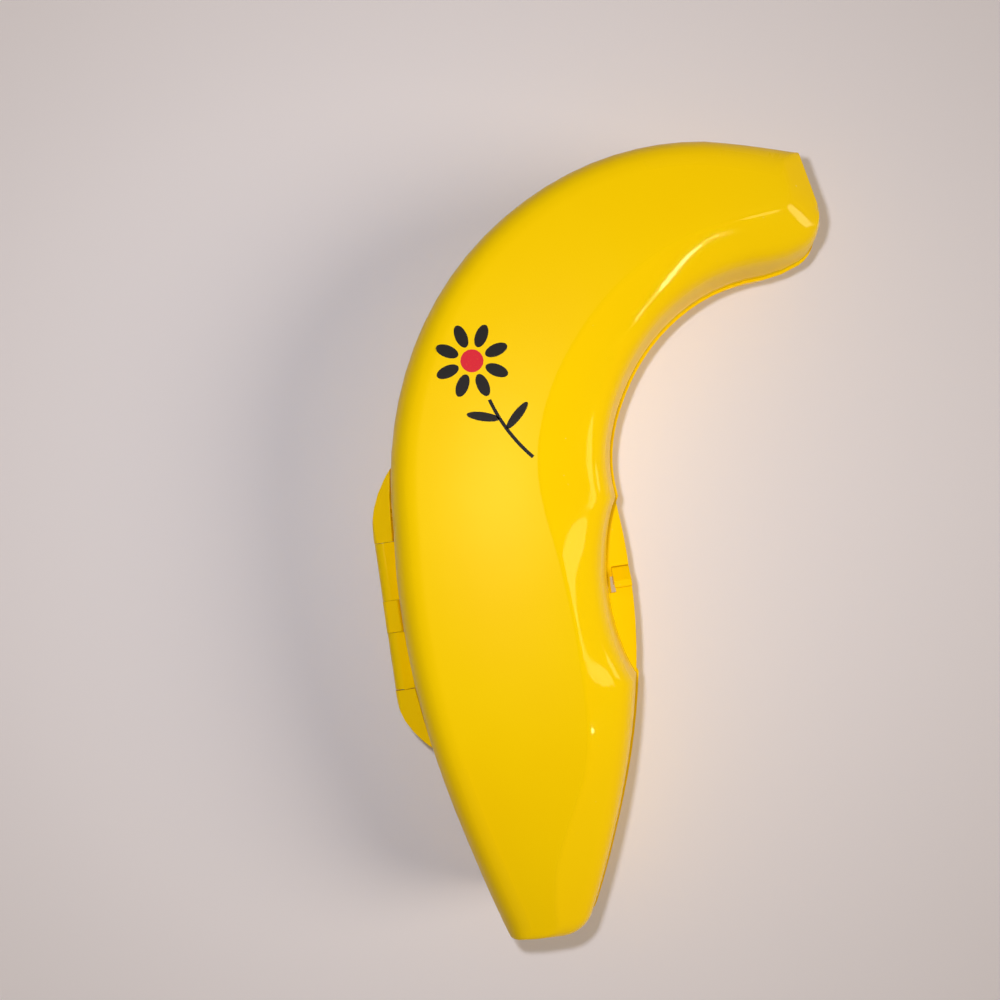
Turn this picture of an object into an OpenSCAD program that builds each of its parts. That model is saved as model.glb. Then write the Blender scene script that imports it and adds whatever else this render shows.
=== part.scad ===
// Hinged banana carrying case: two moulded half shells, a hinge on the outer
// curve and a snap latch in a finger scoop on the inner curve.
// The case lies on its back, +Z to the front half, +Y along the hinge to the stem.

/* [Spine] */
// Length of the tail, from its cut end to the belly
tail_len = 97; // [88:1:110]
// Turn of the tail away from the straight belly, in degrees
tail_turn = 5.5; // [2:0.5:10]
// Length of the straight belly
belly_len = 18; // [14:1:40]
// Radius of the bend, at the middle of the case
bend_r = 68; // [60:0.5:85]
// Turn of the bend, in degrees
bend_turn = 88; // [70:1:98]
// Length of the straight stem past the bend
stem_len = 27; // [24:0.5:40]

/* [Widths at the parting line] */
// Width at the cut end of the tail
tail_tip_w = 22; // [18:0.5:28]
// Width a fifth of the way up the tail
hip_w = 36; // [32:0.5:42]
// Width half way up the tail
loin_w = 52.8; // [48:0.2:58]
// Width three quarters of the way up the tail
flank_w = 61; // [56:0.2:66]
// Width where the belly starts
belly_w = 62.8; // [58:0.2:70]
// Width where the bend starts
crook_w = 60.4; // [56:0.2:66]
// Width half way round the bend
arm_w = 54.4; // [48:0.2:60]
// Width where the bend ends
neck_w = 37.4; // [34:0.2:44]
// Width at the cut end of the stem
stem_tip_w = 24.5; // [22:0.5:30]

/* [Widths of the sloping band] */
// Band at the cut end of the tail
tail_tip_band = 8; // [6:0.5:10]
// Band a fifth of the way up the tail
hip_band = 15; // [12:0.5:17]
// Band half way up the tail
loin_band = 13.5; // [11:0.5:18]
// Band three quarters of the way up the tail
flank_band = 16.5; // [13:0.5:20]
// Band where the belly starts
belly_band = 19; // [16:0.5:24]
// Band where the bend starts
crook_band = 20; // [16:0.5:24]
// Band half way round the bend
arm_band = 17.5; // [14:0.5:22]
// Band where the bend ends
neck_band = 13; // [11:0.5:17]
// Band at the cut end of the stem
stem_tip_band = 9.5; // [7.5:0.5:11.5]

/* [Depth and edges] */
// Depth of each half over the flat panel
half_depth = 24; // [21:0.5:28]
// Depth of each half at the tail end
tail_depth = 17; // [14:0.5:20]
// Depth of each half at the stem end
stem_depth = 15.5; // [13:0.5:19]
// Length over which the panel falls towards the tail end
tail_fall = 62; // [40:1:75]
// Length over which the panel falls towards the stem end
stem_fall = 60; // [40:1:75]
// Drop of the band from the crease to the shoulder
band_drop = 5; // [3:0.25:7]
// Drop of the band at the cut end of the tail
tail_band_drop = 2.2; // [1.5:0.1:4]
// Draft of the outer wall, in degrees
outer_draft = 4; // [1:0.5:8]
// Draft of the front half's inner wall, in degrees
front_draft = 8; // [3:0.5:11]
// Draft of the rear half's inner wall, in degrees
rear_draft = 2; // [1:0.5:11]
// Rounding of the outer edge
edge_r = 7; // [5:0.25:9]
// Rounding of the shoulder between band and inner wall
shoulder_r = 5.5; // [4:0.25:7]
// Rounding of the shoulder at the cut end of the tail
tail_shoulder_r = 3; // [2:0.25:4]
// Corner radius of the tail end on the inner side
tail_corner_r = 5.5; // [4:0.5:8]
// Corner radius of the stem end on the inner side
stem_corner_r = 6.5; // [5:0.5:9]
// Rounding of the crease where it runs into the cut ends
crease_r = 4; // [2:0.5:6]
// Slope of the tail's end wall, as a run in plan
tail_end_run = 1.6; // [1:0.1:3]
// Slant of the stem's end to the spine, in degrees
stem_slant = 10; // [0:1:15]
// Run in plan of the facet that slopes back over the stem's end wall
stem_facet_run = 6.5; // [4:0.5:9]
// Drop of that facet
stem_facet_drop = 5; // [3:0.25:7]
// Rounding of the edge round both end walls
tip_edge_r = 1.5; // [1:0.1:2]
// Wall thickness
wall = 2.2; // [1.8:0.1:2.6]
// Gap between the two rims
rim_gap = 0.3; // [0.2:0.05:0.5]
// Width of the rear rim's ledge along the inner side
ledge = 0.7; // [0.3:0.1:1]
// Height of the rear rim's locating lip
lip_h = 1.6; // [1:0.1:2.5]
// Side clearance of the locating lip
lip_gap = 0.3; // [0.2:0.05:0.4]

/* [Hinge] */
// Outer radius of the knuckles
knuckle_r = 2.2; // [2:0.1:2.8]
// Clearance between the knuckles and the shell walls
hinge_gap = 0.5; // [0.4:0.05:0.8]
// Radius of the hinge pin
pin_r = 1; // [0.8:0.05:1.2]
// Radial running clearance of the pin in the clips
pin_fit = 0.06; // [0.03:0.01:0.1]
// Radial clearance of the pin where the bracket holds it
pin_seat = 0.02; // [0.01:0.01:0.03]
// Width of the bracket's middle knuckle
middle_w = 8.6; // [6:0.2:12]
// Width of each clip of the front half
clip_w = 15.2; // [11:0.2:18]
// Gap between neighbouring knuckles
knuckle_gap = 0.3; // [0.2:0.05:0.5]
// Length of the bracket's ear on the stem side, past the clip
ear_len = 21; // [16:0.5:25]
// Length of the bracket's ear on the tail side, past the clip
tail_ear_len = 18; // [14:0.5:22]
// Depth of the bracket below the parting plane, at the wall
bracket_h = 7; // [5:0.5:10]
// Straight length of each ear, before it curves back to the wall
ear_flat = 2; // [1:0.5:4]
// Clearance of the bracket from the front rim as it swings open
swing_gap = 0.35; // [0.3:0.05:0.6]
// Fall of each clip's web from the knuckle to the wall, in degrees
web_fall = 15; // [8:1:20]
// Length of pin held in each ear
pin_seat_len = 6; // [4:0.5:8]

/* [Scoop and latch] */
// Distance of the latch and the hinge from the belly, along the tail
latch_back = 8; // [5:0.5:12]
// Length of the finger scoop
scoop_len = 47; // [40:1:52]
// Depth of the finger scoop
scoop_depth = 6.5; // [5.5:0.1:7.5]
// Thickness of the latch plates
plate_t = 1.8; // [1.5:0.1:2.2]
// Length of the ramp at the end of the front plate
ramp_len = 3.5; // [2.5:0.25:5]
// Fall of that ramp
ramp_fall = 1; // [0.6:0.1:1.2]
// Length of the sprung hook, from its root to its foot
hook_len = 4.4; // [3.5:0.1:6]
// Lap of the hook's lip over the front plate
hook_lap = 0.4; // [0.2:0.05:0.5]
// Thickness of the hook's lip
lip_t = 1.2; // [1:0.1:1.6]
// Gap between the latch pieces
latch_gap = 0.3; // [0.2:0.05:0.4]
// Width of the relief slot between the scoop wall and the hook
relief_w = 1.8; // [1.4:0.1:2.4]
// Length of the relief slot
relief_len = 4.3; // [3:0.1:6]

/* [Hidden] */
yellow = [1.0, 0.81, 0.04];
deep_yellow = [0.95, 0.74, 0.03];
steel = [0.72, 0.72, 0.72];
// Overlap that makes a feature one with the wall it grows from
root = 0.5;
// Step from the rims to the features on them, and from the chord of the scoop to the plates
rim_step = 0.1;
plate_inset = 0.2;
// Distance of the end walls' first row from the cut
tip_foot = 0.25;
// Overshoot of cuts
clear = 1;
// Largest share of an edge that its roundings take
round_share = 0.48;
// Points across the rounded edges, and steps along the spine
$fn = 64;
round_n = 5;
tail_steps = 11;
scoop_steps = 16;
arm_steps = 26;
corner_steps = 6;
rim_steps = 8;
rim_tries = 4;
// Shape of the bracket: shares of the knuckle's radius and of the ear's length
bar_side_share = 0.4;
bar_flat_share = 0.7;
bar_top_share = 0.75;
// Depth of the webs' tops under the knuckles' tops
web_sink = 0.03;
ear_sweep = 0.5;

// The spine: tail arc, straight belly, bend arc and straight stem.
// It starts at the tail's end, and the belly lies on the line x = 0.
bend_len = bend_r * bend_turn * PI / 180;
tail_r = tail_len * 180 / (PI * tail_turn);
s_bend = tail_len + belly_len;
s_stem = s_bend + bend_len;
s_end = s_stem + stem_len;
// The hinge and the latch face each other near the end of the tail
s_latch = tail_len - latch_back;
latch_y = s_latch - tail_len;

function heading(s) =
    s < tail_len ? tail_turn * (1 - s / tail_len)
    : s < s_bend ? 0
    : min((s - s_bend) / bend_r * 180 / PI, bend_turn);
function spine(s) =
    let (h = heading(s))
    s < tail_len ? [tail_r * (cos(h) - 1), -tail_r * sin(h)]
    : s < s_bend ? [0, s - tail_len]
    : [bend_r * (1 - cos(h)), belly_len + bend_r * sin(h)]
      + max(s - s_stem, 0) * [sin(h), cos(h)];
// Point of the plan, at a distance to the inner side of the spine
function plan(s, across) = spine(s) + across * [cos(heading(s)), -sin(heading(s))];

// Smooth curve through [place, value] pairs
function pair_slope(k, i) = (k[i + 1][1] - k[i][1]) / (k[i + 1][0] - k[i][0]);
function knot_slope(k, i) =
    i == 0 ? 2 * pair_slope(k, 0) - (pair_slope(k, 0) + pair_slope(k, 1)) / 2
    : i == len(k) - 1 ? 2 * pair_slope(k, i - 1) - (pair_slope(k, i - 2) + pair_slope(k, i - 1)) / 2
    : (pair_slope(k, i - 1) + pair_slope(k, i)) / 2;
function span_of(k, s, i = 0) = i == len(k) - 2 || s < k[i + 1][0] ? i : span_of(k, s, i + 1);
function curve(k, s) =
    let (i = span_of(k, s), d = k[i + 1][0] - k[i][0], t = (s - k[i][0]) / d)
    (1 + 2 * t) * (1 - t) ^ 2 * k[i][1] + t * (1 - t) ^ 2 * d * knot_slope(k, i)
    + t ^ 2 * (3 - 2 * t) * k[i + 1][1] + t ^ 2 * (t - 1) * d * knot_slope(k, i + 1);

stations = [
    0, tail_len / 5, tail_len / 2, tail_len * 3 / 4, tail_len,
    s_bend, s_bend + bend_len / 2, s_stem, s_end
];
widths = [tail_tip_w, hip_w, loin_w, flank_w, belly_w, crook_w, arm_w, neck_w, stem_tip_w];
bands = [
    tail_tip_band, hip_band, loin_band, flank_band, belly_band,
    crook_band, arm_band, neck_band, stem_tip_band
];
width_curve = [for (i = [0:len(stations) - 1]) [stations[i], widths[i] / 2]];
band_curve = [for (i = [0:len(stations) - 1]) [stations[i], bands[i]]];

// Sagitta of a rounded corner of radius r, at distance s from its end
function corner_cut(s, r) = s >= r ? 0 : r - sqrt(max(r ^ 2 - (r - s) ^ 2, 0));
scoop_r = ((scoop_len / 2) ^ 2 + scoop_depth ^ 2) / (2 * scoop_depth);
s_scoop = s_latch - scoop_len / 2;
function scoop_cut(s) =
    abs(s - s_latch) >= scoop_len / 2 ? 0
    : sqrt(scoop_r ^ 2 - (s - s_latch) ^ 2) - (scoop_r - scoop_depth);

// Half widths at the parting line, moved in by an offset: the outer side, and
// the inner side without and with the scoop
function outer_w(s, off = 0) = curve(width_curve, s) - off;
function chord_w(s, off = 0) =
    curve(width_curve, s) - off - corner_cut(s - off, tail_corner_r - off)
    - corner_cut(s_end - off - s, stem_corner_r - off);
function inner_w(s, off = 0) = chord_w(s, off) - scoop_cut(s);
// Distance of the crease from the inner side
function band_w(s) =
    curve(band_curve, s) + corner_cut(s, crease_r) + corner_cut(s_end - s, crease_r);
// Shares of the fall of the panel towards the two ends
function fall(x) = max(x, 0) ^ 2;
function tail_share(s) = fall(1 - s / tail_fall);
function stem_share(s) = fall(1 - (s_end - s) / stem_fall);
// Height of the panel over the parting plane, without and with its rounded ends
function fallen_h(s, off) =
    half_depth - off - (half_depth - tail_depth) * tail_share(s)
    - (half_depth - stem_depth) * stem_share(s);
function panel_h(s, off = 0) =
    fallen_h(s, off) - corner_cut(s - off, tip_edge_r) - corner_cut(s_end - off - s, tip_edge_r);
// Drop of the band and rounding of its shoulder, which both lessen towards the tail
function drop(s) = band_drop - (band_drop - tail_band_drop) * tail_share(s);
function shoulder_round(s) = shoulder_r - (shoulder_r - tail_shoulder_r) * tail_share(s);
// The tail's end wall leans in with height, and the stem's slopes back above its
// knee and slants across the spine
function knee_h(s, off) = fallen_h(s, off) - stem_facet_drop;
function lean(s, off, z) =
    tail_end_run * tail_share(s) * max(z, 0) / panel_h(s, off)
    - stem_facet_run * stem_share(s) * max(z - knee_h(s, off), 0) / stem_facet_drop;
function slant(s) = tan(stem_slant) * stem_share(s);

// Rounded corner from a to b about the corner point c
function rounded(a, c, b) =
    [for (i = [0:round_n]) let (t = i / round_n) (1 - t) ^ 2 * a + 2 * t * (1 - t) * c + t ^ 2 * b];
function towards(a, b, d) = a + (b - a) * min(d / norm(b - a), round_share);

// Section of a half shell as [across, up] points, from the outer rim over the
// panel, the crease and the band to the inner rim, all moved in by an offset
function section(s, off, rim_z, ledge_w, draft) =
    let (
        h = panel_h(s, off),
        wo = outer_w(s, off),
        wi = inner_w(s, off),
        shoulder_h = h - drop(s),
        edge = [-wo + h * tan(outer_draft), h],
        crease = [wi + scoop_cut(s) - band_w(s) + off / 2, h],
        shoulder = [wi - shoulder_h * tan(draft), shoulder_h],
        foot_o = [-wo, rim_z],
        foot_i = [wi + ledge_w, rim_z],
        edge_low = towards(edge, foot_o, edge_r),
        edge_high = towards(edge, crease, edge_r),
        shoulder_high = towards(shoulder, crease, shoulder_round(s)),
        shoulder_low = towards(shoulder, foot_i, shoulder_round(s))
    )
    concat(
        [foot_o, (foot_o + edge_low) / 2],
        rounded(edge_low, edge, edge_high),
        [(edge_high + 2 * crease) / 3, crease, (crease + shoulder_high) / 2],
        rounded(shoulder_high, shoulder, shoulder_low),
        [(foot_i + shoulder_low) / 2, foot_i]
    );

// Places of the rows along the spine, which crowd into the rounded corners
function steps(a, b, n) = [for (i = [1:n]) a + (b - a) * i / n];
function corner_rows(r) =
    [for (i = [0:corner_steps]) tip_foot + (r - tip_foot) * (1 - cos(90 * i / corner_steps))];
stem_rows = corner_rows(stem_corner_r);
rows = concat(
    corner_rows(tail_corner_r),
    steps(tail_corner_r, s_scoop, tail_steps),
    steps(s_scoop, s_scoop + scoop_len, scoop_steps),
    steps(s_scoop + scoop_len, s_end - stem_corner_r, arm_steps),
    [for (i = [corner_steps - 1:-1:0]) s_end - stem_rows[i]]
);
row_n = len(rows) + 3;
col_n = len(section(s_latch, 0, 0, 0, 0));

// Height over the parting plane at which the features on the rims start
seat_z = rim_gap / 2 + rim_step;
// Places of the hinge: its axis clears the outer rim by the hinge gap
rim_x = min([for (s = rows) plan(s, -outer_w(s))[0]]);
hinge_x = rim_x - hinge_gap - knuckle_r;
clip_y0 = middle_w / 2 + knuckle_gap;
ear_y0 = clip_y0 + clip_w + knuckle_gap;
ear_y1 = ear_y0 + ear_len;
tail_ear_y1 = ear_y0 + tail_ear_len;
bar_side = bar_side_share * knuckle_r;
bar_flat = bar_flat_share * knuckle_r;
bar_top = bar_top_share * knuckle_r;
// The pin goes in from the end of the ear on the tail side
mouth_y = latch_y - tail_ear_y1 - clear;
bracket_reach = wall + hinge_gap + knuckle_r + ear_len / 2;
// Places of the latch
scoop_x = plan(s_latch, inner_w(s_latch))[0];
chord_x = plan(s_latch, chord_w(s_latch))[0];
relief_x = scoop_x + relief_w;
plate_end = latch_gap * 2;
plate_top = seat_z + plate_t;
ramp_z = plate_top - ramp_fall;
// The part stands on its back panel, with its origin under the middle of its box
outline = [for (row = skin(0, rim_gap / 2, ledge, rear_draft), p = row) p];
left_x = hinge_x - knuckle_r;
right_x = max([for (p = outline) p[0]]);
low_y = min([for (p = outline) p[1]]);
high_y = max([for (p = outline) p[1]]);
module placed() {
    translate([-(left_x + right_x) / 2, -(low_y + high_y) / 2, half_depth]) children();
}

// Rows of a skin: the foot of each end wall, the sections between them and the
// knee between the stem's end wall and its facet
function foot_row(s, off, rim_z, ledge_w) = [
    for (j = [0:col_n - 1])
        let (t = j / (col_n - 1), x = (chord_w(s, off) + ledge_w) * t - outer_w(s, off) * (1 - t))
        concat(plan(s + slant(s) * x, x), rim_z)
];
function skin_row(s, off, rim_z, ledge_w, draft) = [
    for (p = section(s, off, rim_z, ledge_w, draft))
        concat(plan(s + slant(s) * p[0] + lean(s, off, p[1]), p[0]), p[1])
];
function knee_row(s, off, rim_z, ledge_w, draft) = [
    for (p = section(s, off, rim_z, ledge_w, draft))
        concat(plan(s + slant(s) * p[0], p[0]), min(p[1], knee_h(s, off)))
];
// Places along the spine are drawn in by the offset at both ends
function drawn_in(s, off) = off + s * (s_end - 2 * off) / s_end;
function skin(off, rim_z, ledge_w, draft) = concat(
    [foot_row(off, off, rim_z, ledge_w)],
    [for (s = rows) skin_row(drawn_in(s, off), off, rim_z, ledge_w, draft)],
    [knee_row(drawn_in(s_end - tip_foot / 2, off), off, rim_z, ledge_w, draft)],
    [foot_row(s_end - off, off, rim_z, ledge_w)]
);

// Indices round the open edge of a grid of points
rim_loop = concat(
    [for (j = [0:col_n - 1]) j],
    [for (i = [1:row_n - 1]) i * col_n + col_n - 1],
    [for (j = [col_n - 2:-1:0]) (row_n - 1) * col_n + j],
    [for (i = [row_n - 2:-1:1]) i * col_n]
);
function flat(rows) = [for (r = rows) each r];
// Each square of a grid is split so that no triangle lies flat in the rim
function turned(f) = [for (t = f) [t[0], t[2], t[1]]];
function grid_faces(base, out) = [
    for (i = [0:row_n - 2], j = [0:col_n - 2])
        let (
            a = base + i * col_n + j,
            b = a + 1,
            c = a + col_n,
            d = c + 1,
            crossed = i == 0 && j > col_n / 2 || i == row_n - 2 && j < col_n / 2,
            f = crossed ? [[a, c, b], [c, d, b]] : [[a, c, d], [a, d, b]]
        )
        each out ? f : turned(f)
];
function strip_faces(low, high) = [
    for (i = [0:len(low) - 1])
        let (k = (i + 1) % len(low))
        each [[low[i], low[k], high[k]], [low[i], high[k], high[i]]]
];

// One half shell, opening downwards: an outer skin, an inner skin and a rim
// that steps from the outer foot to the inner foot
module half_shell(outer_foot, inner_foot, step_off, ledge_w, draft) {
    outer = flat(skin(0, outer_foot, ledge_w, draft));
    inner = flat(skin(wall, inner_foot, 0, draft));
    middle = flat(skin(step_off, outer_foot, 0, draft));
    grid_n = len(outer);
    loop_n = len(rim_loop);
    step_low = [for (i = rim_loop) [middle[i][0], middle[i][1], outer_foot]];
    step_high = [for (i = rim_loop) [middle[i][0], middle[i][1], inner_foot]];
    outer_loop = rim_loop;
    low_loop = [for (i = [0:loop_n - 1]) 2 * grid_n + i];
    high_loop = [for (i = [0:loop_n - 1]) 2 * grid_n + loop_n + i];
    inner_loop = [for (i = rim_loop) grid_n + i];
    polyhedron(
        points = concat(outer, inner, step_low, step_high),
        faces = concat(
            grid_faces(0, true),
            grid_faces(grid_n, false),
            strip_faces(outer_loop, low_loop),
            strip_faces(low_loop, high_loop),
            strip_faces(high_loop, inner_loop)
        )
    );
}

// A flat outline in x and z, drawn along the hinge
module along_y(y0, y1) {
    translate([hinge_x, y1, 0]) rotate([90, 0, 0]) linear_extrude(y1 - y0) children();
}
// An outline in y and z about the middle of the latch, drawn across it
module along_x(x0, x1) {
    translate([x0, latch_y, 0]) rotate([90, 0, 90]) linear_extrude(x1 - x0) children();
}

// Points on the outer rim at places along the hinge, moved in by an offset
function rim_s(y, n = rim_tries, s = undef) =
    let (k = is_undef(s) ? tail_len + y : s)
    n == 0 ? k : rim_s(y, n - 1, k + y - plan(k, -outer_w(k))[1]);
function rim_line(y0, y1, off) =
    [
        for (y = concat(y0, steps(y0, y1, rim_steps)))
            let (s = rim_s(y))
            plan(s, -outer_w(s, off))
    ];

// Clip of the front half: a knuckle with a web that falls to the wall
module web_section(reach) {
    start = (knuckle_r - web_sink) * [sin(web_fall), cos(web_fall)];
    end = [reach, start[1] - (reach - start[0]) * tan(web_fall)];
    polygon([[0, seat_z], [0, start[1]], start, end, [end[0], seat_z]]);
}
module clip(y0) {
    y1 = y0 + clip_w;
    line = rim_line(y1, y0, root);
    reach = max([for (p = line) p[0]]) - hinge_x;
    difference() {
        union() {
            along_y(y0, y1) circle(r = knuckle_r);
            intersection() {
                linear_extrude(2 * knuckle_r) polygon(concat([[hinge_x, y0], [hinge_x, y1]], line));
                along_y(y0 - clear, y1 + clear) web_section(reach + clear);
            }
        }
        along_y(y0 - clear, y1 + clear) circle(r = pin_r + pin_fit);
    }
}

// Flat bar of the bracket, bevelled on its free side, with a gusset under it
module bar_section() {
    polygon([
        [-knuckle_r, -bar_side], [-knuckle_r, bar_side], [-bar_flat, bar_top],
        [bracket_reach, bar_top], [bracket_reach, -bracket_h]
    ]);
}
// Room that the front rim sweeps over the bracket, outside a barrel about the pin
module swing_room() {
    y0 = latch_y - tail_ear_y1;
    y1 = latch_y + ear_y1;
    line = rim_line(y0, y1, 0);
    radii = [for (p = line) p[0] - hinge_x - swing_gap];
    n = len(line) - 1;
    difference() {
        translate([hinge_x, y0 - clear, -seat_z])
            cube([bracket_reach + clear, y1 - y0 + 2 * clear, bracket_h]);
        translate([hinge_x, 0, 0]) rotate([-90, 0, 0]) rotate_extrude()
            polygon(concat(
                [[0, y0 - 2 * clear], [radii[0], y0 - 2 * clear]],
                [for (i = [0:n]) [radii[i], line[i][1]]],
                [[radii[n], y1 + 2 * clear], [0, y1 + 2 * clear]]
            ));
    }
}
// One part of the bracket: the bar within an outline in plan, bored for the pin
module bracket_part(outline) {
    difference() {
        intersection() {
            translate([0, 0, -bracket_h]) linear_extrude(2 * bracket_h) polygon(outline);
            along_y(mouth_y, latch_y + ear_y1 + clear) bar_section();
        }
        swing_room();
        along_y(mouth_y, latch_y + ear_y0 + pin_seat_len) circle(r = pin_r + pin_seat);
    }
}
function middle_outline() =
    let (y0 = latch_y - middle_w / 2, y1 = latch_y + middle_w / 2)
    concat([[left_x, y0], [left_x, y1]], rim_line(y1, y0, root));
// The ear on one side of the clips, which curves back to the wall
function ear_outline(side) =
    let (
        near = latch_y + side * ear_y0,
        far = latch_y + (side > 0 ? ear_y1 : -tail_ear_y1),
        turn = near + side * ear_flat,
        line = rim_line(far, near, root)
    )
    concat(
        [[left_x, near]],
        rounded([left_x, turn], [left_x, turn + (far - turn) * ear_sweep], line[0]),
        [for (i = [1:len(line) - 1]) line[i]]
    );

// Latch plate between the scoop and the line that the scoop cuts off
module latch_plate(s0, s1) {
    line = concat(s0, steps(s0, s1, rim_steps));
    linear_extrude(plate_t)
        polygon(concat(
            [for (s = line) plan(s, inner_w(s, root))],
            [for (i = [len(line) - 1:-1:0]) plan(line[i], chord_w(line[i], plate_inset))]
        ));
}
module front_plate() {
    over = plate_top + clear;
    difference() {
        translate([0, 0, seat_z]) latch_plate(s_scoop + plate_inset, s_latch - plate_end);
        along_x(scoop_x, chord_x + clear)
            polygon([[-plate_end - ramp_len, plate_top], [0, over], [0, ramp_z], [-plate_end, ramp_z]]);
        along_x(scoop_x, relief_x)
            polygon([[-relief_len / 2, 0], [0, 0], [0, over], [-relief_len / 2, over]]);
    }
}
module rear_plate() {
    slot = hook_len + latch_gap;
    under = -plate_top - clear;
    difference() {
        translate([0, 0, -plate_top])
            latch_plate(s_latch + relief_len / 2, s_scoop + scoop_len - plate_inset);
        along_x(relief_x - latch_gap, chord_x + clear)
            polygon([[0, 0], [slot, 0], [slot, under], [0, under]]);
    }
}

module front_shell() {
    color(yellow) placed() {
        half_shell(rim_gap / 2, lip_h + rim_gap, wall / 2 - lip_gap / 2, 0, front_draft);
        clip(latch_y + clip_y0);
        clip(latch_y - clip_y0 - clip_w);
        front_plate();
    }
}
module rear_shell() {
    color(deep_yellow) placed() {
        mirror([0, 0, 1])
            half_shell(rim_gap / 2, -lip_h, wall / 2 + lip_gap / 2, ledge, rear_draft);
        bracket_part(ear_outline(1));
        bracket_part(ear_outline(-1));
        bracket_part(middle_outline());
        rear_plate();
    }
}
module hinge_pin() {
    color(steel) placed()
        along_y(latch_y - ear_y0 - pin_seat_len, latch_y + ear_y0 + pin_seat_len)
            circle(r = pin_r);
}
// The sprung hook: a ramp up from the rear plate to a lip over the front plate's end
module latch_hook() {
    foot = latch_gap - plate_end;
    tip = -plate_end - hook_lap;
    bevel = lip_t / 4;
    lip_z = ramp_z + hook_lap * ramp_fall / ramp_len + latch_gap;
    lip_top = lip_z + lip_t;
    color(yellow) placed()
        along_x(relief_x, chord_x - plate_inset)
            polygon([
                [hook_len, -plate_top], [hook_len, -seat_z], [foot + lip_t, lip_top],
                [tip + bevel, lip_top], [tip, lip_top - bevel], [tip, lip_z], [foot, lip_z],
                [foot, -plate_top]
            ]);
}

front_shell();
rear_shell();
hinge_pin();
latch_hook();
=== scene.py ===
"""Dresses a moulded banana carrying case: two hinged halves, their pin, a sprung hook and a printed flower."""

import logging
import math
from dataclasses import dataclass
from enum import Enum
from typing import Any

import bpy
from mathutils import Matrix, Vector


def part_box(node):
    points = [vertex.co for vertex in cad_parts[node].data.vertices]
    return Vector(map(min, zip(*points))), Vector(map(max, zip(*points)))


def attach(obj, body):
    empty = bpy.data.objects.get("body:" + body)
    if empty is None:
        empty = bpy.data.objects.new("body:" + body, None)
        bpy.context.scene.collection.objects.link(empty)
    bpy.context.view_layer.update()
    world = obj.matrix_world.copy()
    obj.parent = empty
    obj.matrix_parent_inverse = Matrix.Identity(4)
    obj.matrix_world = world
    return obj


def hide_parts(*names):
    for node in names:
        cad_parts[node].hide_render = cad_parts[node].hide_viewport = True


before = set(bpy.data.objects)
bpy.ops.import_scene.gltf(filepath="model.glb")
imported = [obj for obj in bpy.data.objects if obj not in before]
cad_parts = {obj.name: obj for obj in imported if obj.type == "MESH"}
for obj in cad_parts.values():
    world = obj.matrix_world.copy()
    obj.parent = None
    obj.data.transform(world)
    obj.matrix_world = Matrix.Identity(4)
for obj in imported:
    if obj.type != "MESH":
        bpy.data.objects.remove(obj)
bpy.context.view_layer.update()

log = logging.getLogger("banana_case")

MM = 0.001
# Blender's wave texture repeats every pi / 10 units at a scale of 1.
WAVE_PERIOD = 0.314
# A face looks along an axis when its normal's share of that axis is above this.
FACING = 0.99

Colour = tuple[float, float, float, float]


class Side(Enum):
    """The way that a half's large panel faces, as the sign of its Z axis."""

    FRONT = 1
    REAR = -1


class Body(Enum):
    """The moving bodies of the case."""

    REAR = "rear"
    FRONT = "front"
    LATCH = "latch"


class Glint(Enum):
    """What a lamp does: light the case, or show in its shine."""

    LIGHT = "light"
    SHINE = "shine"


class Reach(Enum):
    """How far off a lamp is, as Blender's name for its kind: a near disc, or a light that falls alike everywhere."""

    NEAR = "AREA"
    FAR = "SUN"


class Slot(Enum):
    """The finishes that the case's record names."""

    SHELL = "shell"
    PIN = "pin"


def linear(hex_colour: str) -> Colour:
    """Turns an sRGB hex colour into linear light.

    Args:
        hex_colour: The colour as six hex digits after a hash sign.

    Returns:
        Red, green, blue and an alpha of 1.
    """
    parts = [int(hex_colour[i:i + 2], 16) / 255 for i in (1, 3, 5)]
    light = [c / 12.92 if c <= 0.04045 else ((c + 0.055) / 1.055) ** 2.4 for c in parts]
    return (light[0], light[1], light[2], 1.0)


def add_node(
    tree: bpy.types.NodeTree,
    kind: str,
    settings: dict[int | str, Any] | None = None,
    links: dict[int | str, bpy.types.NodeSocket] | None = None,
) -> bpy.types.Node:
    """Adds a node with its settings and links.

    Args:
        tree: The material's or world's node tree.
        kind: The node's type name.
        settings: Values by input name or number, or by property name.
        links: Output sockets by the input that each one feeds.

    Returns:
        The new node.
    """
    node = tree.nodes.new(kind)
    for key, value in (settings or {}).items():
        if isinstance(key, int) or key in node.inputs:
            node.inputs[key].default_value = value
        else:
            setattr(node, key, value)
    for key, socket in (links or {}).items():
        tree.links.new(socket, node.inputs[key])
    return node


def new_material(name: str) -> tuple[bpy.types.Material, bpy.types.NodeTree, bpy.types.Node]:
    """Makes an empty material with its shader.

    Args:
        name: The material's name.

    Returns:
        The material, its node tree and its shader node.
    """
    material = bpy.data.materials.new(name)
    material.use_nodes = True
    tree = material.node_tree
    tree.nodes.clear()
    shader = add_node(tree, "ShaderNodeBsdfPrincipled")
    add_node(tree, "ShaderNodeOutputMaterial", links={"Surface": shader.outputs["BSDF"]})
    return material, tree, shader


def from_hinge(offset_mm: tuple[float, float, float]) -> Vector:
    """Finds a place by its distance from the middle of the hinge.

    Args:
        offset_mm: The distance along X, Y and Z in mm.

    Returns:
        The place in metres.
    """
    low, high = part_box("hinge_pin")
    return (low + high) / 2 + Vector(offset_mm) * MM


def deselect() -> None:
    """Leaves edit mode and deselects every object."""
    if bpy.context.object and bpy.context.object.mode != "OBJECT":
        bpy.ops.object.mode_set(mode="OBJECT")
    bpy.ops.object.select_all(action="DESELECT")


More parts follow.
